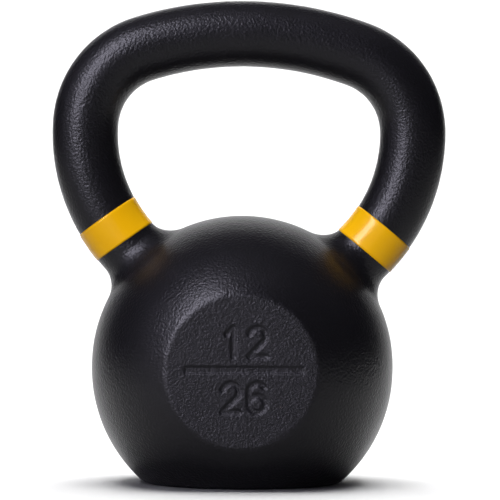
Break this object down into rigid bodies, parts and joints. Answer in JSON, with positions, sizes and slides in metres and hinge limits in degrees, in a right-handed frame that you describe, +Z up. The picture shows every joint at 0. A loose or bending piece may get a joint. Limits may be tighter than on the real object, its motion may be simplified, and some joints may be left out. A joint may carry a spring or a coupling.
{
  "type": "kettlebell",
  "caption": "Cast-iron kettlebell with a round bell, flat base, wide loop handle, coloured bands on the horns and a flat marked face.",
  "frame": {"origin": "middle of the flat base the kettlebell stands on", "axes": "+Z up through the handle, +X along the grip, -Y out of the marked flat on the front"},
  "size_m": [0.1854, 0.1234, 0.2269],
  "materials": {
    "coated_iron": "black powder coat, satin, fine orange peel",
    "yellow_band": "glossy yellow vinyl"
  },
  "bodies": {
    "root": {"casting": "coated_iron", "left_band": "yellow_band", "right_band": "yellow_band"}
  },
  "joints": []
}
